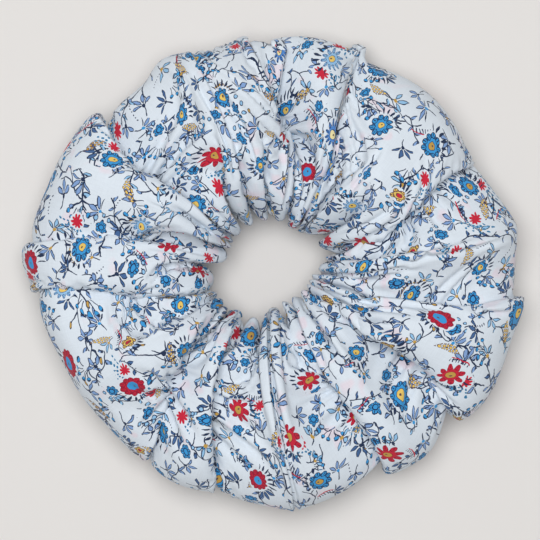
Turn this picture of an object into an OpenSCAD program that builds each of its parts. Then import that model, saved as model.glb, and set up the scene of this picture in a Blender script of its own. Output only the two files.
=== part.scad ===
// A large gathered hair scrunchie, lying flat on a table.
// A cotton tube is gathered on a loop of flat elastic. The cover is made in two half rings,
// one each side of the plane where the scrunchie opens when it is pulled, so that it can stretch.
// Millimetres, +Z up, origin at the middle of the underside.

/* [Cover] */
// Height of the tallest puff above the table
cover_h = 37; // [32:1:42]
// Mean radius of the hair hole
hole_r = 17; // [15:0.5:19]
// Radius at the bottom of the notches between puffs
notch_r = 62; // [56:1:64]
// How far a puff's edge falls back from its crown to its ends
puff_fall = 6; // [3:0.5:9]
// Thickness of the wall that stands for the gathered cloth
cloth_t = 1.2; // [0.8:0.1:1.6]

/* [Elastic] */
// Radius of the middle of the elastic's thickness
band_r = 27; // [25:0.5:29]
// Width of the flat elastic
band_w = 6; // [4:0.5:8]
// Thickness of the flat elastic
band_t = 1.1; // [0.8:0.1:1.4]
// Length of the lap where the elastic's ends are sewn together
lap_len = 15; // [10:1:20]

/* [Stitching] */
// Diameter of the sewing thread
thread_d = 0.5; // [0.4:0.05:0.7]
// Length of one stitch on the outside of the closing seam
stitch_len = 2.2; // [1.8:0.1:2.4]
// Angle round the ring of the closing seam
closing_angle = 68; // [60:1:75]

/* [Hidden] */

// Each puff: angle of its crown, half its spread in degrees, outer radius, part of cover_h
PUFFS = [
    [-1, 25, 75, 0.97], [-31, 18, 78, 0.93], [-53, 13, 75, 0.89], [-80, 18, 73, 0.95],
    [-123, 24, 73, 1.00], [-158, 16, 71, 0.90], [-179, 14, 76, 0.93], [161, 18, 75, 0.97],
    [110, 22, 71, 1.00], [72, 18, 71, 0.86], [42, 20, 66, 0.97]
];
// Height of the notches between puffs, as a part of cover_h
notch_part = 0.80;
// Height of the widest line of the cover's section, as a part of its height
belly_part = 0.42;
// The two halves stop this many degrees short of the plane between them
half_gap = 0.6;
stations = 45;
section_steps = 20;
thread_fn = 16;

// Smallest turn from one angle to another, -180 to 180
function turn(from, to) = let (d = (to - from) % 360) d > 180 ? d - 360 : d < -180 ? d + 360 : d;
// 1 at a puff's crown, falling as an arc to 0 at its ends
function arch(puff, a) =
    let (t = turn(puff[0], a) / puff[1]) abs(t) < 1 ? sqrt(1 - t * t) : 0;
function outer_at(a) =
    max([for (p = PUFFS) arch(p, a) > 0 ? p[2] - puff_fall * (1 - arch(p, a)) : notch_r]);
function height_at(a) =
    cover_h * max([for (p = PUFFS) notch_part + (p[3] - notch_part) * arch(p, a)]);
function hole_at(a) = hole_r + 0.6 * cos(5 * a + 40) + 0.4 * cos(3 * a);

// The ring's own centre is moved so that the cover's box is centred on the origin
EDGE = [for (a = [0:1:359]) outer_at(a) * [cos(a), sin(a)]];
centre_shift = -0.5 * [min([for (p = EDGE) p.x]) + max([for (p = EDGE) p.x]),
                       min([for (p = EDGE) p.y]) + max([for (p = EDGE) p.y])];

// A point of the cover's section at angle a round the ring and phi round the section;
// inset 0 is the outside of the cloth
function section_point(a, phi, inset) =
    let (
        r_out = outer_at(a) - inset,
        r_in = hole_at(a) + inset,
        belly = belly_part * height_at(a),
        r = (r_out + r_in) / 2 + (r_out - r_in) / 2 * cos(phi),
        z = max(inset, belly + (height_at(a) - inset - belly) * sin(phi))
    )
    [centre_shift.x + r * cos(a), centre_shift.y + r * sin(a), z];

// Half of the gathered tube, open at both ends, from one angle to the other
module half_cover(from, to) {
    m = section_steps;
    points = [
        for (inset = [0, cloth_t])
            for (i = [0:stations - 1])
                for (j = [0:m - 1])
                    section_point(from + (to - from) * i / (stations - 1), 360 * j / m, inset)
    ];
    inside = stations * m;
    last = (stations - 1) * m;
    faces = [
        for (i = [0:stations - 2])
            for (j = [0:m - 1])
                let (a = i * m + j, b = i * m + (j + 1) % m, c = a + m, d = b + m)
                    each [[a, c, d], [a, d, b],
                          [inside + a, inside + d, inside + c], [inside + a, inside + b, inside + d]],
        for (j = [0:m - 1])
            let (b = (j + 1) % m)
                each [[j, b, inside + b], [j, inside + b, inside + j],
                      [last + j, last + inside + b, last + b],
                      [last + j, last + inside + j, last + inside + b]]
    ];
    polyhedron(points = points, faces = faces, convexity = 8);
}

// A straight run of thread between two points
module thread_between(p, q) {
    d = q - p;
    flat = norm([d.x, d.y]);
    translate((p + q) / 2)
        rotate([0, atan2(flat, d.z), atan2(d.y, d.x)])
            cylinder(d = thread_d, h = norm(d), center = true, $fn = thread_fn);
}

// Stitches on the inside of the cover, round the edge of the hair hole
module long_seam(from, to) {
    pitch = 1.9;
    run = 1.5;
    step = pitch / hole_r * 180 / PI;
    count = floor((to - from) / step);
    for (i = [0:count - 1]) {
        a = from + (i + 0.5) * (to - from) / count;
        half = run / hole_r * 90 / PI;
        thread_between(section_point(a - half, 180, cloth_t), section_point(a + half, 180, cloth_t));
    }
}

module cover_left() {
    color("aliceblue")
        half_cover(90 + half_gap, 270 - half_gap);
}

module cover_right() {
    color("aliceblue")
        half_cover(-90 + half_gap, 90 - half_gap);
}

// A loop of flat elastic standing on edge inside the tube, its ends lapped on the left.
// It is a ring as thick as the lap, cut back to one thickness everywhere else.
module elastic_band() {
    band_z = belly_part * cover_h - band_w / 2;
    lap_angle = lap_len / band_r * 180 / PI;
    far = 2 * band_r;
    lap_corner = far * [cos(lap_angle / 2), sin(lap_angle / 2)];
    color("ivory")
        translate([centre_shift.x, centre_shift.y, band_z])
            difference() {
                cylinder(r = band_r + 1.5 * band_t, h = band_w, $fn = 96);
                translate([0, 0, -1])
                    cylinder(r = band_r - 0.5 * band_t, h = band_w + 2, $fn = 96);
                translate([0, 0, -1])
                    difference() {
                        cylinder(r = band_r + 3 * band_t, h = band_w + 2, $fn = 96);
                        translate([0, 0, -1])
                            cylinder(r = band_r + 0.5 * band_t, h = band_w + 4, $fn = 96);
                        translate([0, 0, -1])
                            linear_extrude(band_w + 4)
                                polygon([[0, 0], [-lap_corner.x, lap_corner.y],
                                         [-lap_corner.x, -lap_corner.y]]);
                    }
            }
}

// Zigzag of thread that joins the elastic's lapped ends
module elastic_zigzag() {
    runs = 10;
    edge = 1;
    gap = 0.06;
    r = band_r + 1.5 * band_t;
    low = belly_part * cover_h - band_w / 2 + edge;
    high = low + band_w - 2 * edge;
    reach = (lap_len - 3) / band_r * 180 / PI;
    color("white")
        for (i = [0:runs - 1]) {
            a0 = 180 - reach / 2 + reach * (i + gap) / runs;
            a1 = 180 - reach / 2 + reach * (i + 1 - gap) / runs;
            up = i % 2 == 0;
            thread_between(
                [centre_shift.x + r * cos(a0), centre_shift.y + r * sin(a0), up ? low : high],
                [centre_shift.x + r * cos(a1), centre_shift.y + r * sin(a1), up ? high : low]
            );
        }
}

module long_seam_left() {
    color("white")
        long_seam(90 + 3 * half_gap, 270 - 3 * half_gap);
}

module long_seam_right() {
    color("white")
        long_seam(-90 + 3 * half_gap, 90 - 3 * half_gap);
}

// Row of stitches across the top of the cover, where the tube's two ends are closed
module closing_seam() {
    first = 168;
    last = 14;
    count = 24;
    pitch = (first - last) / count;
    color("white")
        for (i = [0:count - 1]) {
            p = section_point(closing_angle, first - pitch * i, 0);
            q = section_point(closing_angle, first - pitch * (i + 1), 0);
            run = (q - p) / norm(q - p) * min(stitch_len, 0.8 * norm(q - p)) / 2;
            thread_between((p + q) / 2 - run, (p + q) / 2 + run);
        }
}

cover_left();
cover_right();
elastic_band();
elastic_zigzag();
long_seam_left();
long_seam_right();
closing_seam();
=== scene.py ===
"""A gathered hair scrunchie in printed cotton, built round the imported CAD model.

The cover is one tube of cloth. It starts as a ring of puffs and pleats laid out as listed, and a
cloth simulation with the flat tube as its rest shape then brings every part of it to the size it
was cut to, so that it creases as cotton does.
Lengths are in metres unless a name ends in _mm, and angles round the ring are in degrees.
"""

import math

import bmesh
import bpy
import numpy as np
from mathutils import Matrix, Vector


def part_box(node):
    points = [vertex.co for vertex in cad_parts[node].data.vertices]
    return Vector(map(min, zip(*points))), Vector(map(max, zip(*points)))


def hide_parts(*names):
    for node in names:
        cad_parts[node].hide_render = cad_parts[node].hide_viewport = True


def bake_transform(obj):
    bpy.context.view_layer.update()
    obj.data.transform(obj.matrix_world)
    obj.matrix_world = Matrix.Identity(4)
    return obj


MM = 0.001

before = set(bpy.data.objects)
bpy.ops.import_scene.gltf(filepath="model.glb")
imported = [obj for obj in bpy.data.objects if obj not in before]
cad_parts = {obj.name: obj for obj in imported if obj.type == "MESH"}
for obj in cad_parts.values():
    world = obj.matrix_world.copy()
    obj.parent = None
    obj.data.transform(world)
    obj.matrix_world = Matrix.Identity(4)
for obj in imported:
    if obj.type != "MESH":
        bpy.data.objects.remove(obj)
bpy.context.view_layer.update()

# ---------------------------------------------------------------- the cloth and the elastic
CUT_LENGTH = 0.560
CUT_WIDTH = 0.160
SEAM_ALLOWANCE = 0.010
TUBE_LENGTH = CUT_LENGTH - 2 * SEAM_ALLOWANCE
TUBE_ROUND = CUT_WIDTH - 2 * SEAM_ALLOWANCE
BAND_RADIUS = 0.027
BAND_THICKNESS = 0.0011
LAP_LENGTH = 0.015
RIB_MM = 0.75
PLAIT_MM = 0.9
THREAD_RADIUS = 0.00022
PLY_MM = 0.35
THREAD_SIDES = 8
STITCH_LENGTH, STITCH_PITCH = 0.0021, 0.0026
STITCH_STATIONS = 9
ZIGZAG_RUNS = 11
ZIGZAG_MARGIN = 0.0010
# The topstitching lies this many rows of the cover's grid beside the closing seam
TOPSTITCH_ROW = 2

band_low, band_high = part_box("elastic_band")
RING_X = band_high.x - BAND_RADIUS - BAND_THICKNESS / 2
RING_Y = (band_low.y + band_high.y) / 2
BAND_Z = (band_low.z + band_high.z) / 2
BAND_WIDTH = band_high.z - band_low.z

# ---------------------------------------------------------------- the ring of puffs
# Valleys between puffs: angle at the rim, angle at the hair hole, depth against the usual, the
# hair hole's radius there in millimetres, because the relaxed hole isn't quite round, how far
# the fold leans over to the next puff for each millimetre of its depth, and the depth of the
# notch that it cuts in the rim, against the usual
VALLEYS = [
    (-6, -21, 0.8, 11.3, -0.9, 0.5), (23.5, 14, 1.05, 15.5, 1.2, 1.3),
    (68, 57, 0.9, 12.3, 0.6, 0.9), (88, 75, 1.5, 13.0, 0.3, 0.2),
    (136, 148, 1.35, 14.5, 1.2, 0.7), (174, 161, 0.9, 14.0, 0.8, 0.9),
    (186, 203, 0.95, 19.5, -0.8, 0.3), (237, 224, 1.4, 19.3, -0.7, 0.4),
    (257, 240, 1.05, 17.0, -0.8, 0.8), (296, 291, 1.15, 11.0, 1.0, 1.15),
    (318, 325, 1.3, 11.2, 0.9, 1.6),
]
# The puff that follows each valley: rim radius and height in millimetres, pleats at the hole
PUFFS = [
    (74.5, 34, 3), (70, 34, 2), (70, 29, 1), (69.5, 35, 4), (74, 34, 2), (76, 31, 2),
    (71, 34, 3), (73, 32, 1), (74.5, 34.5, 3), (75, 32, 2), (77, 34, 2),
]
# The tube's two ends meet at this valley, counted from 0
SEAM_VALLEY = 2
# A puff is widest at this share of its height, and this much lower at its sides than its middle
BELLY = 0.42
SHOULDER_DROP_MM = 2
# A usual puff's section, half its width and height, which spaces the points along its edge
SECTION_HALF_MM = (28, 17)
# How much a puff's width at the rim says about its share of the cloth; the hole says the rest
RIM_SAYS = 0.6
# The grid of points, and the UV map that says where on the flat cloth each of them is
STEPS_ALONG = 320
STEPS_ROUND = 72
FLAT_CLOTH = "flat_cloth"
FLOOR_GAP_MM = 0.4
# Where pleats give way to puffs, from 0 at the hole to 1 at the rim
PLEATS_END, PLEATS_FADE = 0.45, 0.40
# Pleats vary in width and lean over to one side, and their crests are flatter below 1
PLEAT_SKEW, PLEAT_LEAN, CREST_ROUND = 0.35, 0.7, 0.75
# How far a puff's shoulder hangs over the fold that leans in under it
OVERHANG = 0.45
# The share of a puff's cloth that is spread evenly; the rest crowds towards its two valleys
SPREAD_EVENLY = 0.15
# Random waves added to the laid shape: how many, and how far they move a point together
WAVES, WAVE_MM = 24, 1.3
# How far a fold may reach to the middle of the section, at the rim, top, underside and hole
DEEPEST_NOTCH, DEEPEST_VALLEY = 0.30, np.array([0.84, 0.90, 0.36])
DEEPEST_PLEAT = np.array([0.0, 0.60, 0.70, 0.44])
# How far folds stay from the elastic
BAND_CLEAR_MM = 1.6
# The tube's two ends are sewn together flat, so its section is pinched there, outside the
# elastic: how far along the tube the pinch fades, its rim radius, height, rise half way, half
# its thickness, and where it begins, from 0 at the hole to 1 at the rim
SEAM_FLAT_MM = 5.5
SEAM_RIM_MM = 71.5
SEAM_LOW_MM = 9.0
SEAM_RISE_MM = 12.0
SEAM_HALF_MM = 0.8
SEAM_STARTS, SEAM_FADES = 0.25, 0.35


def smooth(x):
    """Smooth step from 0 at 0 to 1 at 1."""
    x = np.clip(x, 0, 1)
    return x * x * (3 - 2 * x)


def section_angles():
    """Angles round a puff's section, evenly spaced along its edge, from the hole over the top."""
    fine = np.linspace(math.pi, -math.pi, 2001)
    half_width, half_height = SECTION_HALF_MM
    steps = np.hypot(np.diff(half_width * np.cos(fine)), np.diff(half_height * np.sin(fine)))
    along = np.concatenate([[0], np.cumsum(steps)])
    return np.interp(np.arange(STEPS_ROUND) / STEPS_ROUND * along[-1], along, fine)


def puff_shares():
    """The part of the tube's length that each puff takes, from its widths at rim and hole."""
    rim, hole = (np.array([v[i] for v in VALLEYS] + [VALLEYS[0][i] + 360.0]) for i in (0, 1))
    width = np.diff(rim) * np.array([p[0] for p in PUFFS])
    return RIM_SAYS * width / width.sum() + (1 - RIM_SAYS) * np.diff(hole) / 360


def fold_depth(cloth, gap):
    """How deep a fold has to be to take up this much cloth in a gap of this width."""
    return np.sqrt(np.maximum((cloth / 2) ** 2 - (gap / 2) ** 2, 0))


def unevenness(rng):
    """Gentle waves in all three directions, because nobody lays cloth down evenly."""
    along = np.arange(STEPS_ALONG + 1)[:, None] / STEPS_ALONG
    around = np.arange(STEPS_ROUND)[None] / STEPS_ROUND
    waves = np.zeros((STEPS_ALONG + 1, STEPS_ROUND, 3))
    for _ in range(WAVES):
        turns = 2 * math.pi * (rng.integers(5, 32) * along + rng.integers(-3, 4) * around)
        waves += np.sin(turns + rng.uniform(0, 2 * math.pi))[:, :, None] * rng.normal(size=3)
    free = np.sin(math.pi * around) * np.minimum(1, 12 * np.minimum(along, 1 - along))
    return waves * (WAVE_MM / math.sqrt(WAVES)) * np.sqrt(free)[:, :, None]


def start_shape():
    """The tube gathered as listed: a grid of points, along the tube and then round it."""
    count = len(VALLEYS)
    valleys = np.array(VALLEYS + VALLEYS[:1], float)
    valleys[-1, :2] += 360
    rim, hole, depth, hole_mm, valley_lean, notch = valleys.T
    rim_mm, height_mm, pleats = (np.array(column, float) for column in zip(*PUFFS))
    share = puff_shares()
    edges = np.concatenate([[0], np.cumsum(share)])
    cloth_mm = share * TUBE_LENGTH / MM

    along = np.arange(STEPS_ALONG + 1) / STEPS_ALONG + edges[SEAM_VALLEY]
    along = np.where(along >= 1, along - 1, along)
    puff = np.clip(np.searchsorted(edges, along, side="right") - 1, 0, count - 1)
    across = (along - edges[puff]) / share[puff] * 2 - 1
    rng = np.random.default_rng(8)
    skew = rng.uniform(-1, 1, count)[puff]
    lean = rng.uniform(-1, 1, count)
    lean = np.append(lean, lean[0]) * PLEAT_LEAN
    leaning = lean[puff] + (lean[puff + 1] - lean[puff]) * smooth((across + 1) / 2)
    folding_over = np.where(across < 0, valley_lean[puff], valley_lean[puff + 1])
    pleat_place = (across + PLEAT_SKEW * np.sin(math.pi * across) * skew + 1) / 2 * pleats[puff]
    pleat = np.floor(np.clip(pleat_place, 0, pleats[puff] - 1e-6))
    puff_turn = math.pi / 2 * across
    pleat_turn = math.pi / 2 * ((pleat_place - pleat) * 2 - 1)
    pleat_middle = -1 + (2 * pleat + 1) / pleats[puff]

    near_seam = np.minimum(np.arange(STEPS_ALONG + 1), STEPS_ALONG - np.arange(STEPS_ALONG + 1))
    near_seam = np.exp(-((near_seam * TUBE_LENGTH / STEPS_ALONG / MM / SEAM_FLAT_MM) ** 2))
    valley_depth = np.where(across < 0, depth[puff], depth[puff + 1])
    rim_notch = np.where(across < 0, notch[puff], notch[puff + 1])
    neighbour = np.where(across < 0, (puff - 1) % count, (puff + 1) % count)
    rim_here = rim_mm[puff] + (rim_mm[neighbour] - rim_mm[puff]) * 0.5 * np.abs(across) ** 3
    rim_here = rim_here + (SEAM_RIM_MM - rim_here) * near_seam
    height = height_mm[puff] - SHOULDER_DROP_MM * (1 - np.cos(puff_turn))
    belly = BELLY * height
    hole_here = hole_mm[puff] + (hole_mm[puff + 1] - hole_mm[puff]) * smooth((across + 1) / 2)
    middle, half = (rim_here + hole_here) / 2, (rim_here - hole_here) / 2

    grid = np.zeros((STEPS_ALONG + 1, STEPS_ROUND, 3))
    for j, phi in enumerate(section_angles()):
        outward = (1 + math.cos(phi)) / 2
        low = hole[puff] + (rim[puff] - hole[puff]) * smooth(outward)
        high = hole[puff + 1] + (rim[puff + 1] - hole[puff + 1]) * smooth(outward)
        pleated = smooth((PLEATS_END - outward) / PLEATS_FADE)
        puff_angle = (1 - SPREAD_EVENLY) * np.sin(puff_turn) + SPREAD_EVENLY * across
        crest = np.sign(pleat_turn) * np.abs(np.sin(pleat_turn)) ** CREST_ROUND
        pleat_angle = pleat_middle + crest / pleats[puff]
        angle = (low + high) / 2 + (high - low) / 2 * (
            puff_angle * (1 - pleated) + pleat_angle * pleated
        )
        rise = np.where(math.sin(phi) > 0, height - belly, belly) * math.sin(phi)
        reach = half * math.cos(phi)
        to_middle = np.hypot(rise, reach)
        gap = np.radians(high - low) * (middle + reach)
        outer, inner = max(math.cos(phi), 0) ** 2, max(-math.cos(phi), 0) ** 2
        top, under = max(math.sin(phi), 0) ** 2, max(-math.sin(phi), 0) ** 2
        sides = np.array([outer, top, under, inner])
        puff_fold = fold_depth(cloth_mm[puff], gap) / to_middle * valley_depth
        deepest = outer * DEEPEST_NOTCH * rim_notch + sides[1:] @ DEEPEST_VALLEY * valley_depth
        puff_fold = np.minimum(puff_fold, deepest) * (1 - pleated)
        pleat_fold = fold_depth(cloth_mm[puff] / pleats[puff], gap / pleats[puff]) / to_middle
        pleat_fold = np.minimum(pleat_fold, sides @ DEEPEST_PLEAT) * pleated * (1 - near_seam)
        puff_fold = puff_fold * (1 - near_seam)
        leaned = (across**2 - OVERHANG * np.abs(np.sin(math.pi * across))) * folding_over
        sideways = puff_fold * leaned + pleat_fold * (1 - np.cos(pleat_turn)) * leaning
        fold = puff_fold * (1 - np.cos(puff_turn)) + pleat_fold * (1 - np.cos(pleat_turn))
        z = belly + rise * (1 - fold)
        flat_z = SEAM_LOW_MM + SEAM_RISE_MM * math.sin(math.pi * outward)
        flat_z = flat_z + SEAM_HALF_MM * np.sign(rise)
        z = z + (flat_z - z) * near_seam * smooth((outward - SEAM_STARTS) / SEAM_FADES)
        r = middle + reach * (1 - fold)
        # folds stay on their own side of the elastic
        beside = np.abs(z - BAND_Z / MM) < BAND_WIDTH / 2 / MM + BAND_CLEAR_MM
        over = (np.abs(r - BAND_RADIUS / MM) < 3 * BAND_CLEAR_MM) | (outward < 0.3)
        if abs(math.sin(phi)) < 0.5 and outward < 0.5:
            r = np.where(beside, np.minimum(r, BAND_RADIUS / MM - BAND_CLEAR_MM), r)
        else:
            clear = BAND_Z / MM + math.copysign(BAND_WIDTH / 2 / MM + BAND_CLEAR_MM, math.sin(phi))
            z = np.where(beside & over, clear, z)
        z = np.maximum(z, FLOOR_GAP_MM)
        angle = angle + np.degrees(sideways * to_middle / r)
        grid[:, j] = np.stack(
            [r * np.cos(np.radians(angle)), r * np.sin(np.radians(angle)), z], -1
        )
    grid += unevenness(rng)
    grid[:, :, 2] = np.maximum(grid[:, :, 2], FLOOR_GAP_MM)
    return grid * MM


def flat_shape():
    """The same grid as a straight tube of the cloth's real length and girth."""
    along = np.arange(STEPS_ALONG + 1) / STEPS_ALONG * TUBE_LENGTH
    turn = -2 * math.pi * np.arange(STEPS_ROUND) / STEPS_ROUND
    radius = TUBE_ROUND / (2 * math.pi)
    grid = np.zeros((STEPS_ALONG + 1, STEPS_ROUND, 3))
    grid[:, :, 0] = along[:, None]
    grid[:, :, 1] = radius * np.cos(turn)
    grid[:, :, 2] = radius * np.sin(turn)
    return grid


def grid_faces(rows, columns):
    """Quads of a grid that is open along its rows and closed round its columns."""
    index = np.arange(rows * columns).reshape(rows, columns)
    a, b = index[:-1], index[1:]
    return np.stack([a, b, np.roll(b, -1, 1), np.roll(a, -1, 1)], -1).reshape(-1, 4)


def new_mesh_object(name, points, faces):
    """A mesh object in the scene, from its points and faces."""
    mesh = bpy.data.meshes.new(name)
    mesh.from_pydata(np.asarray(points, float).reshape(-1, 3).tolist(), [], np.asarray(faces).tolist())
    obj = bpy.data.objects.new(name, mesh)
    bpy.context.scene.collection.objects.link(obj)
    return obj


def points_of(obj):
    """The object's evaluated points."""
    graph = bpy.context.evaluated_depsgraph_get()
    mesh = obj.evaluated_get(graph).data
    points = np.zeros(len(mesh.vertices) * 3, np.float32)
    mesh.vertices.foreach_get("co", points)
    return points.reshape(-1, 3).astype(float)


# ---------------------------------------------------------------- cloth simulation
# The solver works best at furniture size, so the cloth is simulated ten times larger
SIM_SCALE = 10.0
SIM_FRAMES = 38
# How firmly the cloth is held to where it was laid, from 0 to 1, at the rim and elsewhere, and
# where the firmer hold starts and how far it takes to come in, from -1 at the hole to 1 at the rim
HOLD_RIM, HOLD_PUFFS = 0.88, 0.62
HOLD_STARTS, HOLD_FADES = 0.3, 0.5
# The hand that pats the scrunchie flat stops at this height. In the simulation it and the table
# are square plates with this half width
PRESS_Z = 0.0405
PLATE_HALF = 0.2


def add_obstacle(name, points, faces, gap):
    """Something that the simulated cloth can't pass, and keeps this gap to."""
    obstacle = new_mesh_object(name, points, faces)
    obstacle.modifiers.new("Collision", "COLLISION")
    obstacle.collision.thickness_outer = gap
    obstacle.collision.cloth_friction = 20
    return obstacle


def band_obstacle():
    """A torus in the place of the elastic, which the cloth is gathered on."""
    turns, sides, thick = 64, 10, 0.0030
    a = np.linspace(0, 2 * math.pi, turns, endpoint=False)[:, None]
    b = np.linspace(0, 2 * math.pi, sides, endpoint=False)[None]
    r = BAND_RADIUS + thick * 0.6 * np.cos(b)
    z = np.broadcast_to(BAND_Z + thick * np.sin(b), r.shape)
    points = np.stack([r * np.cos(a), r * np.sin(a), np.broadcast_to(z, (turns, sides))], -1)
    index = np.arange(turns * sides).reshape(turns, sides)
    after = np.roll(index, -1, 0)
    faces = np.stack([index, after, np.roll(after, -1, 1), np.roll(index, -1, 1)], -1)
    return add_obstacle("band_obstacle", points * SIM_SCALE, faces.reshape(-1, 4), 0.004)


def relax(start, flat):
    """Runs the cloth simulation on the grid and returns the grid that it settles in."""
    rows, columns = start.shape[:2]
    obj = new_mesh_object("cloth_simulation", start * SIM_SCALE, grid_faces(rows, columns))
    obj.shape_key_add(name="Basis")
    rest = obj.shape_key_add(name="flat")
    rest.data.foreach_set("co", (flat * SIM_SCALE).reshape(-1).astype(np.float32))
    index = np.arange(rows * columns).reshape(rows, columns)
    pinned = np.unique(np.concatenate([index[:, 0], index[0], index[-1]]))
    held = obj.vertex_groups.new(name="held")
    for column, phi in enumerate(section_angles()):
        firm = smooth((math.cos(phi) - HOLD_STARTS) / HOLD_FADES)
        hold = HOLD_PUFFS + (HOLD_RIM - HOLD_PUFFS) * firm
        held.add(index[:, column].tolist(), float(hold), "REPLACE")
    held.add(pinned.tolist(), 1.0, "REPLACE")
    # Blender hands the rest shape to the solver only when another kind of modifier comes first
    obj.modifiers.new("Passes the mesh on", "UV_WARP")
    cloth = obj.modifiers.new("Cloth", "CLOTH")
    settings, contact = cloth.settings, cloth.collision_settings
    settings.quality = 5
    settings.mass = 0.3
    settings.tension_stiffness = settings.compression_stiffness = 20
    settings.shear_stiffness = 10
    settings.bending_stiffness = 5
    settings.tension_damping = settings.compression_damping = settings.shear_damping = 10
    settings.bending_damping = 1
    settings.air_damping = 3
    settings.vertex_group_mass = "held"
    settings.rest_shape_key = rest
    settings.use_pressure = True
    settings.uniform_pressure_force = 0.6
    settings.effector_weights.gravity = 0.08
    contact.use_self_collision = True
    contact.self_distance_min = 0.006
    contact.distance_min = 0.008
    contact.collision_quality = 2
    contact.self_friction = 5
    contact.friction = 20
    corners = np.array([(-1, -1, 0), (1, -1, 0), (1, 1, 0), (-1, 1, 0)]) * PLATE_HALF * SIM_SCALE
    press = corners + [0, 0, PRESS_Z * SIM_SCALE]
    obstacles = [
        add_obstacle("table_obstacle", corners, [(0, 1, 2, 3)], 0.005),
        add_obstacle("press_obstacle", press, [(0, 1, 2, 3)], 0.005),
        band_obstacle(),
    ]
    for number in range(1, SIM_FRAMES + 1):
        bpy.context.scene.frame_set(number)
    settled = points_of(obj).reshape(start.shape) / SIM_SCALE
    for made in [obj, *obstacles]:
        bpy.data.objects.remove(made)
    bpy.context.scene.frame_set(1)
    return settled


# ---------------------------------------------------------------- the cover's mesh
def halved(points, closed):
    """Twice as many points along the first axis, on a smooth curve through the given ones."""
    if closed:
        before, after, beyond = (np.roll(points, shift, 0) for shift in (1, -1, -2))
        between = (9 * (points + after) - before - beyond) / 16
        return np.stack([points, between], 1).reshape(-1, *points.shape[1:])
    padded = np.concatenate([2 * points[:1] - points[1:2], points, 2 * points[-1:] - points[-2:-1]])
    between = (9 * (padded[1:-2] + padded[2:-1]) - padded[:-3] - padded[3:]) / 16
    pairs = np.stack([points[:-1], between], 1).reshape(-1, *points.shape[1:])
    return np.concatenate([pairs, points[-1:]])


def cover_mesh(grid):
    """The settled tube in its place, with twice the detail each way. The curves pass through
    the settled points, because smoothing would take cloth out of the creases."""
    grid = grid.copy()
    grid[0] = grid[-1] = (grid[0] + grid[-1]) / 2
    grid = halved(grid, closed=False)
    grid = halved(grid.transpose(1, 0, 2), closed=True).transpose(1, 0, 2)
    grid[:, :, 2] = np.maximum(grid[:, :, 2], FLOOR_GAP_MM * MM)
    rows, columns = grid.shape[:2]
    whole = new_mesh_object("cover_whole", grid + [RING_X, RING_Y, 0], grid_faces(rows, columns))
    map_flat_cloth(whole.data, rows, columns)
    mesh = whole.data
    bpy.data.objects.remove(whole)
    return mesh


def map_flat_cloth(mesh, rows, columns):
    """A UV map that holds each point's place on the flat cloth, in metres."""
    along = np.arange(rows) / (rows - 1) * TUBE_LENGTH
    round_tube = np.arange(columns + 1) / columns * TUBE_ROUND
    u0, u1 = np.repeat(along[:-1, None], columns, 1), np.repeat(along[1:, None], columns, 1)
    v0, v1 = (np.repeat(v[None], rows - 1, 0) for v in (round_tube[:-1], round_tube[1:]))
    corners = np.stack([np.stack([u0, u1, u1, u0], -1), np.stack([v0, v0, v1, v1], -1)], -1)
    layer = mesh.uv_layers.new(name=FLAT_CLOTH)
    layer.data.foreach_set("uv", corners.reshape(-1).astype(np.float32))


def read_array(collection, name, width, kind=np.float32):
    """A mesh's attribute as an array with this many numbers to a row."""
    values = np.zeros(len(collection) * width, kind)
    collection.foreach_get(name, values)
    return values.reshape(-1, width)


def cut_into_puffs(mesh, material):
    """One piece for each puff, cut along the valleys, with the whole cover's shading."""
    points = read_array(mesh.vertices, "co", 3)
    normals = read_array(mesh.vertex_normals, "vector", 3)
    quads = read_array(mesh.loops, "vertex_index", 1, np.int32).reshape(-1, 4)
    flat = read_array(mesh.uv_layers[FLAT_CLOTH].data, "uv", 2).reshape(-1, 4, 2)
    place = flat[:, :, 0].mean(1) / TUBE_LENGTH
    share = np.roll(puff_shares(), -SEAM_VALLEY)
    ends = np.cumsum(share)
    owner = np.minimum(np.searchsorted(ends, place, side="right"), len(share) - 1)
    pieces = []
    for number, part in enumerate(share):
        chosen = owner == number
        used, corners = np.unique(quads[chosen], return_inverse=True)
        piece = new_mesh_object(f"cover_puff_{number + 1:02d}", points[used], corners.reshape(-1, 4))
        layer = piece.data.uv_layers.new(name=FLAT_CLOTH)
        layer.data.foreach_set("uv", flat[chosen].reshape(-1))
        piece.data.polygons.foreach_set("use_smooth", np.ones(chosen.sum(), bool))
        piece.data.normals_split_custom_set_from_vertices(normals[used].tolist())
        piece.data.materials.append(material)
        pieces.append((piece, part * TUBE_LENGTH))
    return pieces


# ---------------------------------------------------------------- materials
class Field:
    """A number that varies over a surface: a node's output with ordinary arithmetic."""

    tree = None

    def __init__(self, socket):
        self.socket = socket

    @classmethod
    def math(cls, operation, *values):
        node = cls.tree.nodes.new("ShaderNodeMath")
        node.operation = operation
        for socket, value in zip(node.inputs, values):
            if isinstance(value, Field):
                cls.tree.links.new(value.socket, socket)
            else:
                socket.default_value = value
        return Field(node.outputs[0])

    def __add__(self, other):
        return Field.math("ADD", self, other)

    def __radd__(self, other):
        return Field.math("ADD", other, self)

    def __sub__(self, other):
        return Field.math("SUBTRACT", self, other)

    def __rsub__(self, other):
        return Field.math("SUBTRACT", other, self)

    def __mul__(self, other):
        return Field.math("MULTIPLY", self, other)

    def __rmul__(self, other):
        return Field.math("MULTIPLY", other, self)

    def __truediv__(self, other):
        return Field.math("DIVIDE", self, other)

    def __abs__(self):
        return Field.math("ABSOLUTE", self)

    def __lt__(self, other):
        return Field.math("LESS_THAN", self, other)

    def __gt__(self, other):
        return Field.math("GREATER_THAN", self, other)


def sine(a):
    return Field.math("SINE", a)


def cosine(a):
    return Field.math("COSINE", a)


def floor(a):
    return Field.math("FLOOR", a)


def length(x, y):
    return Field.math("SQRT", x * x + y * y)


def at_least(a, b):
    return Field.math("MAXIMUM", a, b)


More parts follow.
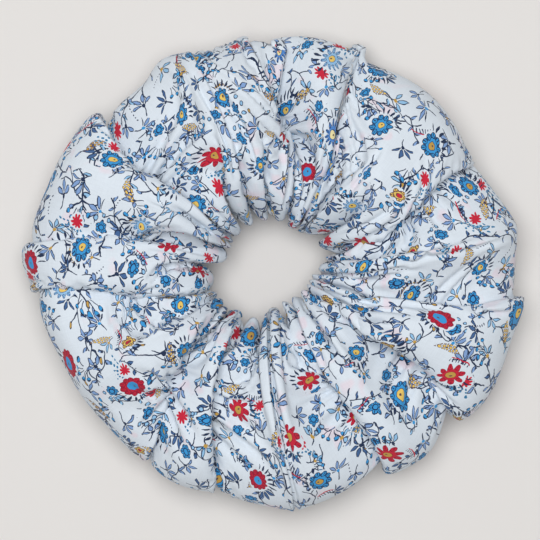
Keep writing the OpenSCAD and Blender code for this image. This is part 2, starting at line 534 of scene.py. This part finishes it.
def at_most(a, b):
    return Field.math("MINIMUM", a, b)


def add_node(kind, **inputs):
    """A node of the current tree with some of its inputs set or linked."""
    node = Field.tree.nodes.new(kind)
    for name, value in inputs.items():
        socket = node.inputs[name.replace("_", " ")]
        if isinstance(value, Field):
            Field.tree.links.new(value.socket, socket)
        else:
            socket.default_value = value
    return node


def point(x, y, z):
    return Field(add_node("ShaderNodeCombineXYZ", X=x, Y=y, Z=z).outputs[0])


def split(vector):
    outputs = add_node("ShaderNodeSeparateXYZ", Vector=vector).outputs
    return [Field(output) for output in outputs]


def noise(vector, per_mm):
    """A soft noise of 0 to 1, with about this many lumps to a millimetre."""
    node = add_node("ShaderNodeTexNoise", Vector=vector, Scale=per_mm, Detail=1.0)
    return Field(node.outputs["Fac"])


def noise_pair(vector, per_mm):
    """Two independent noises, each about -0.5 to 0.5."""
    node = add_node("ShaderNodeTexNoise", Vector=vector, Scale=per_mm, Detail=1.0)
    r, g, _ = split(Field(node.outputs["Color"]))
    return r - 0.5, g - 0.5


def linear(red, green, blue):
    """A colour given as on a screen, 0 to 255, in linear light."""
    parts = [c / 255 for c in (red, green, blue)]
    lit = [c / 12.92 if c <= 0.04045 else ((c + 0.055) / 1.055) ** 2.4 for c in parts]
    return (*lit, 1.0)


def lookup(index, entries):
    """Steps through entries, evenly spaced from 0 to 1, as index rises. Each entry is a colour,
    or three other numbers from 0 to 1 and then a 1."""
    node = add_node("ShaderNodeValToRGB", Fac=index)
    ramp = node.color_ramp
    ramp.interpolation = "CONSTANT"
    while len(ramp.elements) < len(entries):
        ramp.elements.new(1.0)
    for number, entry in enumerate(entries):
        ramp.elements[number].position = number / len(entries)
        ramp.elements[number].color = entry
    return Field(node.outputs["Color"])


def paint(colour, mask, ink):
    """Ink laid over a colour where the mask is 1. Ink is a colour or a field of colours."""
    node = Field.tree.nodes.new("ShaderNodeMix")
    node.data_type = "RGBA"
    Field.tree.links.new(mask.socket, node.inputs["Factor"])
    Field.tree.links.new(colour.socket, node.inputs[6])
    if isinstance(ink, Field):
        Field.tree.links.new(ink.socket, node.inputs[7])
    else:
        node.inputs[7].default_value = ink
    return Field(node.outputs[2])


# ---------------------------------------------------------------- the printed pattern
NAVY = linear(28, 44, 82)
INK = linear(34, 50, 80)
SLATE = linear(70, 104, 152)
PERIWINKLE = linear(132, 164, 212)
PALE_BLUE = linear(150, 196, 232)
BLUE = linear(60, 154, 216)
DEEP_BLUE = linear(78, 138, 212)
TEAL = linear(52, 124, 168)
RED = linear(200, 36, 60)
DARK_RED = linear(150, 22, 52)
YELLOW = linear(236, 200, 104)
OCHRE = linear(196, 156, 76)
BROWN = linear(96, 70, 76)
CREAM = linear(246, 230, 170)
BLUSH = linear(240, 206, 216)
COTTON = linear(221, 230, 239)
# Half a twig's width, a leaf's outline, the way from leaf to leaf and from flower to flower
TWIG_LINE_MM = 0.18
LEAF_LINE_MM = 0.22
LEAF_STEP_MM = 2.3
FLOWER_CELL_MM = 21.0
# The cotton's threads lie this far apart
WEAVE_MM = 0.42


class Scatter:
    """Motifs scattered over the cloth, one to a cell: each point's place in its own motif, in
    millimetres, turned at random, with random numbers that choose what the motif is."""

    def __init__(self, x, y, cell_mm, loose_mm, seed):
        row = floor(y / cell_mm)
        shifted = x / cell_mm + row * 0.37
        column = floor(shifted)
        white = add_node("ShaderNodeTexWhiteNoise", Vector=point(column, row, seed))
        self.pick_again, g, turn = split(Field(white.outputs["Color"]))
        self.pick = Field(white.outputs["Value"])
        across = (shifted - column - 0.5) * cell_mm - (self.pick_again - 0.5) * (2 * loose_mm)
        up = (y / cell_mm - row - 0.5) * cell_mm - (g - 0.5) * (2 * loose_mm)
        c, s = cosine(turn * (2 * math.pi)), sine(turn * (2 * math.pi))
        self.x = across * c + up * s
        self.y = up * c - across * s
        self.r = length(self.x, self.y)
        self.angle = Field.math("ARCTAN2", self.y, self.x) + math.pi

    def spokes(self, count):
        """Places along and across the nearest of count spokes. Count may vary by motif."""
        turn = self.angle * count
        off = Field.math("PINGPONG", turn, math.pi) / count
        return self.r * cosine(off), self.r * sine(off)

    def petals(self, count, radius, depth):
        """Distance inside a flower's edge. The gaps between petals are narrow where deep."""
        lobe = abs(cosine(self.angle * count * 0.5))
        return radius * (1 - depth + depth * lobe) - self.r


def leaf_edge(u, v, middle, half_length, half_width):
    """Distance inside a pointed leaf that lies along u with its middle at this distance."""
    t = (u - middle) / half_length
    return (1 - t * t) * half_width - v


def only(edge, shown):
    """The edge where a motif is shown, and outside it everywhere else."""
    return at_most(edge, shown - 0.5)


def inked(colour, edge, fill, line, line_mm):
    """A shape filled inside its edge, with an outline."""
    colour = paint(colour, edge > 0.0, line)
    return paint(colour, edge > line_mm, fill)


def draw_twigs(colour, x, y, seed, cell_mm, amount):
    """Long curved twigs, each with two side twigs that end in a bud."""
    twig = Scatter(x, y, cell_mm, loose_mm=1.2, seed=seed)
    here = twig.pick < amount
    half = cell_mm * 0.48
    u, v = twig.x, twig.y - 1.5 * sine(twig.x * 0.42)
    colour = paint(colour, (abs(v) < TWIG_LINE_MM) * (abs(u) < half) * here, INK)
    # one side twig above the main one, and the same again below it and farther along
    over = (v > 0.0) * 2 - 1
    start = over * 2.2
    side_u, side_v = u - start - abs(v) * 0.7 - v * v * 0.05, abs(v)
    reach = (side_v < 3.4) * here
    colour = paint(colour, (abs(side_u) < TWIG_LINE_MM * 1.2) * reach, INK)
    bud = only(0.62 - length(side_u, side_v - 3.5), here)
    return inked(colour, bud, lookup(twig.pick_again, [PERIWINKLE, BLUE, OCHRE, BLUE]), INK, 0.20)


def draw_sprigs(colour, x, y, seed, cell_mm, amount):
    """Curved stems with pointed leaves on alternate sides, each dark along one edge."""
    sprig = Scatter(x, y, cell_mm, loose_mm=1.0, seed=seed)
    here = sprig.pick < amount
    u, v = sprig.x, sprig.y - 1.0 * sine(sprig.x * 0.5)
    half = cell_mm * 0.44
    colour = paint(colour, (abs(v) < TWIG_LINE_MM) * (abs(u) < half) * here, INK)
    step = floor(u / LEAF_STEP_MM)
    side = Field.math("PINGPONG", step, 1.0) * 2 - 1
    along = u - (step + 0.5) * LEAF_STEP_MM
    reach = v * side
    lean_u = reach * 0.78 + along * 0.63
    off = reach * 0.63 - along * 0.78
    leaf = leaf_edge(lean_u, abs(off), middle=1.55, half_length=1.45, half_width=0.64)
    leaf = at_most(leaf, (half - abs(u)) * 0.8)
    inks = lookup(sprig.pick_again, [PERIWINKLE, PALE_BLUE, PERIWINKLE, SLATE, PALE_BLUE])
    colour = paint(colour, only(leaf, here) > 0.0, INK)
    return paint(colour, (only(leaf, here) > LEAF_LINE_MM) * (off > -0.12), inks)


def draw_leaves(colour, x, y, seed, cell_mm, amount):
    """Three or four leaves that fan out from the end of a short stalk."""
    spray = Scatter(x, y, cell_mm, loose_mm=1.5, seed=seed)
    here = spray.pick < amount
    count = floor(spray.pick_again * 3) + 6
    u, v = spray.spokes(count)
    size = 1.0 + 0.3 * spray.pick_again
    fan = at_most(spray.x - spray.r * 0.1, 1.0)
    leaf = only(at_most(leaf_edge(u, v, 1.75 * size, 1.35 * size, 0.60), fan), here)
    stalk = (abs(spray.y - spray.x * spray.x * 0.12) < TWIG_LINE_MM) * (spray.x < 0.0)
    colour = paint(colour, stalk * (spray.x > -2.6) * here, INK)
    inks = lookup(spray.pick * (1 / amount), [PERIWINKLE, PALE_BLUE, PERIWINKLE, SLATE, PERIWINKLE])
    colour = inked(colour, leaf, inks, INK, LEAF_LINE_MM)
    bud = lookup(spray.pick_again, [INK, OCHRE, INK, INK, BLUE])
    return paint(colour, (spray.r < 0.5) * here, bud)


def draw_berries(colour, x, y):
    """Capped berries on thin stalks, spread like the ribs of a fan."""
    bunch = Scatter(x, y, cell_mm=15.0, loose_mm=3.0, seed=21.0)
    here = (bunch.pick < 0.75) * (bunch.x > bunch.r * 0.35)
    u, v = bunch.spokes(12.0)
    colour = paint(colour, (v < 0.13) * (u < 3.6) * (u > 1.2) * here, INK)
    berry = only(0.68 - length(u - 3.9, v), here)
    colour = inked(colour, berry, BLUE, INK, 0.14)
    return paint(colour, (berry > 0.0) * (u > 4.1), INK)


def draw_buds(colour, x, y):
    """Clusters of yellow buds in the shape of a long leaf."""
    cluster = Scatter(x, y, cell_mm=19.0, loose_mm=4.4, seed=41.0)
    here = cluster.pick < 0.42
    row = floor(cluster.x / 0.98)
    shifted = cluster.y / 0.98 + row * 0.5
    bud = length((cluster.x / 0.98 - row - 0.5) * 0.98, (shifted - floor(shifted) - 0.5) * 0.98)
    bow = cluster.y - cluster.x * cluster.x * 0.06
    inside = leaf_edge(cluster.x, abs(bow), middle=0.0, half_length=3.6, half_width=1.25)
    bud = only(at_most(0.46 - bud, inside), here)
    return inked(colour, bud, lookup(cluster.pick_again, [YELLOW, OCHRE, YELLOW]), BROWN, 0.15)


def draw_small_flowers(colour, x, y):
    """Small round blue flowers with buds, and red stars with a fan of dots."""
    motif = Scatter(x, y, cell_mm=12.0, loose_mm=2.6, seed=5.0)
    blue, red = motif.pick < 0.36, motif.pick > 0.82
    colour = paint(colour, (motif.r < 2.4) * at_least(blue, red), COTTON)
    flower = only(motif.petals(6.0, radius=2.0, depth=0.24), blue)
    colour = inked(colour, flower, BLUE, NAVY, 0.24)
    veins = (motif.spokes(12.0)[1] < 0.12) * (motif.r > 1.1)
    marks = at_least(abs(motif.r - 0.85) < 0.16, veins)
    colour = paint(colour, marks * (flower > 0.0), NAVY)
    u, v = motif.spokes(8.0)
    bud = only(0.68 - length(u - 3.2, v), blue * (motif.x > 0.6))
    colour = inked(colour, bud, PALE_BLUE, NAVY, 0.24)
    star = only(motif.petals(9.0, radius=2.0, depth=0.48), red)
    colour = paint(colour, star > 0.0, RED)
    ring = floor(motif.r / 1.15)
    dot = length((motif.r / 1.15 - ring - 0.5) * 1.15, motif.spokes(15.0)[1]) < 0.37
    fan = (ring > 1.5) * (ring < 4.5) * (motif.x > motif.r * 0.45) * red
    return paint(colour, dot * fan, lookup(motif.pick_again, [TEAL, SLATE, BLUE, TEAL]))


def draw_flowers(colour, x, y):
    """The large flowers, one of eight kinds to a cell, each with a spray of narrow leaves."""
    motif = Scatter(x, y, FLOWER_CELL_MM, loose_mm=4.6, seed=1.0)
    fill = lookup(motif.pick, [BLUE, RED, BLUE, PALE_BLUE, RED, BLUE, DEEP_BLUE, YELLOW])
    heart = lookup(motif.pick, [YELLOW, BLUE, YELLOW, YELLOW, OCHRE, OCHRE, CREAM, RED])
    line = lookup(motif.pick, [NAVY, DARK_RED, NAVY, SLATE, DARK_RED, NAVY, NAVY, BROWN])
    # petals / 16, depth of the gaps between them, radius / 5 mm
    shape = lookup(
        motif.pick,
        [(9 / 16, 0.20, 0.74, 1), (11 / 16, 0.14, 0.70, 1), (7 / 16, 0.24, 0.62, 1),
         (11 / 16, 0.50, 0.66, 1), (8 / 16, 0.48, 0.76, 1), (9 / 16, 0.18, 0.70, 1),
         (12 / 16, 0.55, 0.74, 1), (5 / 16, 0.32, 0.44, 1)],
    )
    petals, depth, size = split(shape)
    petals = Field.math("ROUND", petals * 16)
    radius = size * 5
    colour = paint(colour, motif.r < radius + 0.45, COTTON)
    u, v = motif.spokes(19.0)
    spray = only(leaf_edge(u, v, radius + 1.3, 1.2, 0.34), motif.x > motif.r * 0.4)
    colour = paint(colour, spray > 0.0, INK)
    edge = motif.petals(petals, radius, depth)
    colour = inked(colour, edge, fill, line, 0.24)
    half_turn = motif.angle * petals * 0.5
    inside = edge > 0.0
    inner = radius * (0.54 + 0.10 * abs(sine(half_turn))) - motif.r
    between = (abs(cosine(half_turn)) < 0.20) * (inner < 0.0)
    veins = (motif.spokes(petals * 3)[1] < 0.13) * (motif.r > radius * 0.68)
    marks = at_least(at_least(abs(inner) < 0.14, between), veins)
    colour = paint(colour, marks * inside, line)
    blue_heart = (motif.pick > 1 / 8) * (motif.pick < 2 / 8)
    middle = radius * (0.31 + 0.14 * blue_heart) - motif.r
    colour = paint(colour, middle > -0.16, line)
    colour = paint(colour, middle > 0.0, heart)
    return paint(colour, length(motif.x - 0.3, motif.y) < 0.30, BROWN)


def draw_dots(colour, x, y):
    """Short rows of tiny dots, and combs of short strokes along a red line."""
    motif = Scatter(x, y, cell_mm=11.5, loose_mm=1.8, seed=33.0)
    row = motif.y - motif.x * motif.x * 0.09
    step = floor(motif.x / 0.85)
    along = motif.x - (step + 0.5) * 0.85
    dots = (length(along, row) < 0.19) * (abs(motif.x) < 2.6) * (motif.pick < 0.35)
    colour = paint(colour, dots, NAVY)
    comb = (abs(motif.x) < 2.8) * (motif.pick > 0.84)
    strokes = (abs(along - row * 0.2) < 0.15) * (row > 0.0) * (row < 1.5) * comb
    colour = paint(colour, strokes, NAVY)
    return paint(colour, (abs(row) < 0.16) * comb, RED)


def new_material(name):
    """A material and its shader. Fields are made in its node tree from here on."""
    material = bpy.data.materials.new(name)
    material.use_nodes = True
    Field.tree = material.node_tree
    return material, material.node_tree.nodes["Principled BSDF"]


def link(field, shader, name):
    Field.tree.links.new(field.socket, shader.inputs[name])


def flat_cloth_mm():
    """The place on the flat cloth, in millimetres."""
    flat = Field.tree.nodes.new("ShaderNodeUVMap")
    flat.uv_map = FLAT_CLOTH
    u, v, _ = split(Field(flat.outputs["UV"]))
    return u * 1000, v * 1000


def add_bump(shader, height, depth_m):
    """Bump from a height of 0 to 1, this deep in metres."""
    bump = add_node("ShaderNodeBump", Strength=1.0, Distance=depth_m, Height=height)
    Field.tree.links.new(bump.outputs["Normal"], shader.inputs["Normal"])


def printed_cotton():
    """Plain-woven cotton with a small floral print in blue, red and yellow."""
    material, shader = new_material("printed_cotton")
    true_x, true_y = flat_cloth_mm()
    # the drawing's hand wobbles: broad bends, and a slight unevenness everywhere
    wide_x, wide_y = noise_pair(point(true_x, true_y, 1.0), 0.085)
    fine_x, fine_y = noise_pair(point(true_x, true_y, 2.0), 0.55)
    x = true_x + wide_x * 6 + fine_x * 0.8
    y = true_y + wide_y * 6 + fine_y * 0.8

    blush = at_most(at_least(noise(point(x, y, 5.0), 0.13) * 5 - 3.1, 0.0), 0.4)
    colour = paint(point(*COTTON[:3]), blush, BLUSH)
    turned_x, turned_y = x * 0.8 - y * 0.6, x * 0.6 + y * 0.8
    colour = draw_twigs(colour, x, y, seed=3.0, cell_mm=15.0, amount=0.85)
    colour = draw_sprigs(colour, x, y, seed=11.0, cell_mm=11.6, amount=0.86)
    colour = draw_leaves(colour, turned_y, turned_x, seed=12.0, cell_mm=8.2, amount=0.92)
    colour = draw_dots(colour, x, y)
    colour = draw_buds(colour, turned_y, turned_x)
    colour = draw_berries(colour, turned_x, turned_y)
    colour = draw_small_flowers(colour, x, y)
    colour = draw_flowers(colour, turned_x, turned_y)

    # ink takes unevenly, and the yarn is a little thicker in places
    slub = noise(point(true_x * 0.25, true_y * 3, 9.0), 1.0)
    slub = slub + noise(point(true_x * 3, true_y * 0.25, 7.0), 1.0)
    shade = 0.90 + 0.10 * slub
    tint = Field.tree.nodes.new("ShaderNodeMix")
    tint.data_type = "RGBA"
    tint.blend_type = "MULTIPLY"
    tint.inputs["Factor"].default_value = 1.0
    Field.tree.links.new(colour.socket, tint.inputs[6])
    Field.tree.links.new(point(shade, shade, shade).socket, tint.inputs[7])
    link(Field(tint.outputs[2]), shader, "Base Color")
    warp = abs(sine(true_x * (math.pi / WEAVE_MM)))
    weft = abs(sine(true_y * (math.pi / WEAVE_MM)))
    add_bump(shader, at_least(warp, weft) * 0.6 + slub * 0.8, 0.00006)
    link(0.92 - 0.10 * warp * weft, shader, "Roughness")
    shader.inputs["Specular IOR Level"].default_value = 0.3
    shader.inputs["Sheen Weight"].default_value = 0.12
    shader.inputs["Sheen Roughness"].default_value = 0.5
    return material


def braided_elastic():
    """White braided elastic with ribs along it."""
    material, shader = new_material("braided_elastic")
    along, across = flat_cloth_mm()
    rib = abs(sine(across * (math.pi / RIB_MM)))
    plait = abs(sine(along * (math.pi / PLAIT_MM) + floor(across / RIB_MM) * 1.6 + rib))
    worn = noise(point(along, across, 4.0), 0.6)
    # painted shade: the grooves between the ribs and between the plaits are painted darker, and worn
    # adds random tone
    shade = 0.60 + 0.22 * rib * plait + 0.10 * worn
    link(point(shade, shade * 0.985, shade * 0.95), shader, "Base Color")
    add_bump(shader, rib * 0.5 + plait * 0.5, 0.00012)
    link(0.78 + 0.14 * worn, shader, "Roughness")
    return material


def sewing_thread():
    """White two-ply sewing thread."""
    material, shader = new_material("thread")
    along, turn = flat_cloth_mm()
    ply = abs(sine(along * (math.pi / PLY_MM) + turn * 2))
    fuzz = noise(point(along, turn, 6.0), 2.0)
    # painted shade: the grooves between the two plies are painted darker, and the fuzz adds random tone
    shade = 0.62 + 0.16 * ply + 0.08 * fuzz
    link(point(shade * 0.98, shade * 0.99, shade), shader, "Base Color")
    add_bump(shader, ply, 0.00008)
    link(0.50 + 0.20 * fuzz, shader, "Roughness")
    shader.inputs["Sheen Weight"].default_value = 0.2
    return material


# ---------------------------------------------------------------- elastic and stitches
def sweep(name, rings, flat):
    """A tube through rings of points, closed at both ends, with its flat_cloth map in metres."""
    count, sides = rings.shape[:2]
    obj = new_mesh_object(name, rings, grid_faces(count, sides))
    u, v = flat
    ends = np.stack([np.stack([u[:-1], u[1:], u[1:], u[:-1]], -1)] * sides, 1)
    around = np.stack([v[:-1], v[:-1], v[1:], v[1:]], -1)[None].repeat(count - 1, 0)
    layer = obj.data.uv_layers.new(name=FLAT_CLOTH)
    layer.data.foreach_set("uv", np.stack([ends, around], -1).reshape(-1).astype(np.float32))
    close_ends(obj.data, count, sides)
    obj.data.polygons.foreach_set("use_smooth", np.ones(len(obj.data.polygons), bool))
    return obj


def close_ends(mesh, count, sides):
    """Puts a face on each end of a tube of this many rings and sides."""
    work = bmesh.new()
    work.from_mesh(mesh)
    work.verts.ensure_lookup_table()
    work.faces.new([work.verts[i] for i in range(sides)])
    work.faces.new([work.verts[(count - 1) * sides + i] for i in reversed(range(sides))])
    bmesh.ops.recalc_face_normals(work, faces=work.faces)
    work.to_mesh(mesh)
    work.free()


def elastic():
    """Flat ribbed elastic in a ring, with its two ends lapped on the left."""
    lap = LAP_LENGTH / BAND_RADIUS
    turn = np.linspace(math.pi - lap / 2, 3 * math.pi + lap / 2, 420)
    # the last stretch climbs onto the first, one thickness farther out
    layer = smooth((turn - (3 * math.pi - 1.6 * lap)) / lap) * BAND_THICKNESS * 1.02
    across = np.linspace(-1, 1, 33)
    half_w, half_t = BAND_WIDTH / 2, BAND_THICKNESS / 2
    ribs = np.abs(np.cos(across * half_w / MM * math.pi / RIB_MM))
    swell = (1 - np.abs(across) ** 8) * (0.86 + 0.14 * ribs)
    edge = np.concatenate([across, across[-2:0:-1]])
    side = np.concatenate([swell, -swell[-2:0:-1]]) * half_t
    r = BAND_RADIUS + layer[:, None] + side[None]
    z = BAND_Z + np.broadcast_to(edge * half_w, r.shape)
    rings = np.stack(
        [RING_X + r * np.cos(turn)[:, None], RING_Y + r * np.sin(turn)[:, None], z], -1
    )
    width = np.append(edge, edge[0]) * half_w
    return sweep("elastic_loop", rings, (turn * BAND_RADIUS, width))


def stitches(name, starts, ends, outward):
    """One thread stitch from each start to its end, its ends sunk into the cloth."""
    stations = np.linspace(0, 1, STITCH_STATIONS)
    rise = np.sin(math.pi * stations) ** 0.5 * 1.3 - 0.6
    around = np.arange(THREAD_SIDES) / THREAD_SIDES * 2 * math.pi
    made = []
    for p, q, up in zip(starts, ends, outward):
        ahead = (q - p) / max(np.linalg.norm(q - p), 1e-9)
        up = up - ahead * (up @ ahead)
        up = up / max(np.linalg.norm(up), 1e-9)
        beside = np.cross(ahead, up)
        middle = p + (q - p) * stations[:, None] + up * rise[:, None] * THREAD_RADIUS
        thick = THREAD_RADIUS * (0.55 + 0.45 * np.sin(math.pi * stations) ** 0.4)[:, None, None]
        ring = np.cos(around)[:, None] * up + np.sin(around)[:, None] * beside
        rings = middle[:, None] + ring[None] * thick
        flat = (stations * np.linalg.norm(q - p), np.arange(THREAD_SIDES + 1) * MM)
        made.append(sweep(name, rings, flat))
    bpy.context.view_layer.objects.active = made[0]
    with bpy.context.temp_override(active_object=made[0], selected_editable_objects=made):
        bpy.ops.object.join()
    return made[0]


def along_line(line):
    """Starts, ends and line positions of stitches along a line of points."""
    steps = np.linalg.norm(np.diff(line, axis=0), axis=1)
    way = np.concatenate([[0], np.cumsum(steps)])

    def place(distance):
        return np.stack([np.interp(distance, way, line[:, k]) for k in range(3)], -1)

    first = np.arange(STITCH_PITCH / 2, way[-1] - STITCH_LENGTH, STITCH_PITCH)
    index = np.clip(np.searchsorted(way, first + STITCH_LENGTH / 2), 0, len(line) - 1)
    return place(first), place(first + STITCH_LENGTH), index


# ---------------------------------------------------------------- the pieces
def join_halves(piece, slot, *nodes):
    """Bakes the piece's place into its mesh and hides these CAD nodes, which it replaces."""
    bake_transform(piece)
    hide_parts(*nodes)


start = start_shape()
settled = relax(start, flat_shape())
cover = cut_into_puffs(cover_mesh(settled), printed_cotton())
for piece, cloth in cover:
    join_halves(piece, "printed_cotton", "cover_left", "cover_right")

loop = elastic()
loop.data.materials.append(braided_elastic())
join_halves(loop, "braided_elastic", "elastic_band")

thread = sewing_thread()
ring_centre = np.array([RING_X, RING_Y, 0.0])


def zigzag():
    """Zigzag over the elastic's lap, on its outer face."""
    reach = (LAP_LENGTH - 3 * ZIGZAG_MARGIN) / BAND_RADIUS
    turn = math.pi + np.linspace(-reach / 2, reach / 2, ZIGZAG_RUNS + 1)
    r = BAND_RADIUS + BAND_THICKNESS * 1.5 + THREAD_RADIUS * 0.4
    side = np.where(np.arange(ZIGZAG_RUNS + 1) % 2, 1, -1)
    z = BAND_Z + side * (BAND_WIDTH / 2 - ZIGZAG_MARGIN)
    out = np.stack([np.cos(turn), np.sin(turn), 0 * turn], -1)
    corner = ring_centre + out * r + np.stack([0 * z, 0 * z, z], -1)
    return stitches("elastic_stitches", corner[:-1], corner[1:], out[:-1])


def long_seam():
    """Stitches that close the strip of cloth into a tube, inside it at the hair hole."""
    line = settled[:, 0] + ring_centre
    inward = settled[:, 3] + settled[:, -3] - 2 * settled[:, 0]
    inward /= np.linalg.norm(inward, axis=1)[:, None]
    a, b, index = along_line(line + inward * 2.2 * THREAD_RADIUS)
    return stitches("long_seam_stitches", a, b, inward[index])


def closing_seam():
    """Topstitching beside the place where the tube's two ends are sewn together."""
    row, top = TOPSTITCH_ROW, slice(3, STEPS_ROUND // 2 - 2)
    line = settled[row, top] + ring_centre
    across = np.gradient(settled[row], axis=0)[top]
    normal = np.cross(settled[row + 1, top] - settled[row - 1, top], across)
    normal /= np.linalg.norm(normal, axis=1)[:, None]
    normal *= np.sign(normal[:, 2].mean())
    a, b, index = along_line(line + normal * 0.5 * THREAD_RADIUS)
    return stitches("closing_seam_stitches", a, b, normal[index])


for piece, nodes in (
    (zigzag(), ["elastic_zigzag"]),
    (long_seam(), ["long_seam_left", "long_seam_right"]),
    (closing_seam(), ["closing_seam"]),
):
    piece.data.materials.append(thread)
    join_halves(piece, "thread", *nodes)


# ---------------------------------------------------------------- floor, light and camera
# The table's half width, the even light, the lamp over the table, the width that the camera
# sees, and how far the hair hole lies right of the picture's middle and above it
TABLE_HALF = 1.2
WORLD_LIGHT = 0.28
SOFTBOX_WATTS, SOFTBOX_SIZE = 10.8, 0.9
SOFTBOX_PLACE = (-0.07, 0.12, 1.15)
VIEW_WIDTH = 0.162
VIEW_SHIFT = 0.0015


def matte(name, colour, roughness):
    """A plain material for the table."""
    material = bpy.data.materials.new(name)
    material.use_nodes = True
    shader = material.node_tree.nodes["Principled BSDF"]
    shader.inputs["Base Color"].default_value = colour
    shader.inputs["Roughness"].default_value = roughness
    return material


def add_stage():
    """A pale table under even light, with a large soft lamp overhead."""
    half = TABLE_HALF
    table = new_mesh_object(
        "table", [(-half, -half, 0), (half, -half, 0), (half, half, 0), (-half, half, 0)], [(0, 1, 2, 3)]
    )
    table.data.materials.append(matte("table_paper", linear(228, 225, 222), 0.9))
    world = bpy.data.worlds.new("studio")
    world.use_nodes = True
    world.node_tree.nodes["Background"].inputs["Color"].default_value = (1.0, 1.0, 1.0, 1)
    world.node_tree.nodes["Background"].inputs["Strength"].default_value = WORLD_LIGHT
    bpy.context.scene.world = world
    lamp = bpy.data.lights.new("softbox", "AREA")
    lamp.shape = "DISK"
    lamp.size = SOFTBOX_SIZE
    lamp.energy = SOFTBOX_WATTS
    softbox = bpy.data.objects.new("softbox", lamp)
    softbox.location = SOFTBOX_PLACE
    softbox.rotation_euler = (-softbox.location).to_track_quat("-Z", "Y").to_euler()
    bpy.context.scene.collection.objects.link(softbox)


def add_camera():
    """Looks straight down, with the hair hole a little right of and above the middle."""
    lens = bpy.data.cameras.new("overhead")
    lens.lens = 180
    lens.sensor_width = 36
    camera = bpy.data.objects.new("overhead", lens)
    away = VIEW_WIDTH * lens.lens / lens.sensor_width
    camera.location = (RING_X - VIEW_SHIFT, RING_Y - VIEW_SHIFT, BAND_Z + away)
    camera.rotation_euler = (0, 0, 0)
    bpy.context.scene.collection.objects.link(camera)
    bpy.context.scene.camera = camera


add_stage()
add_camera()
bpy.context.scene.view_settings.view_transform = "Standard"
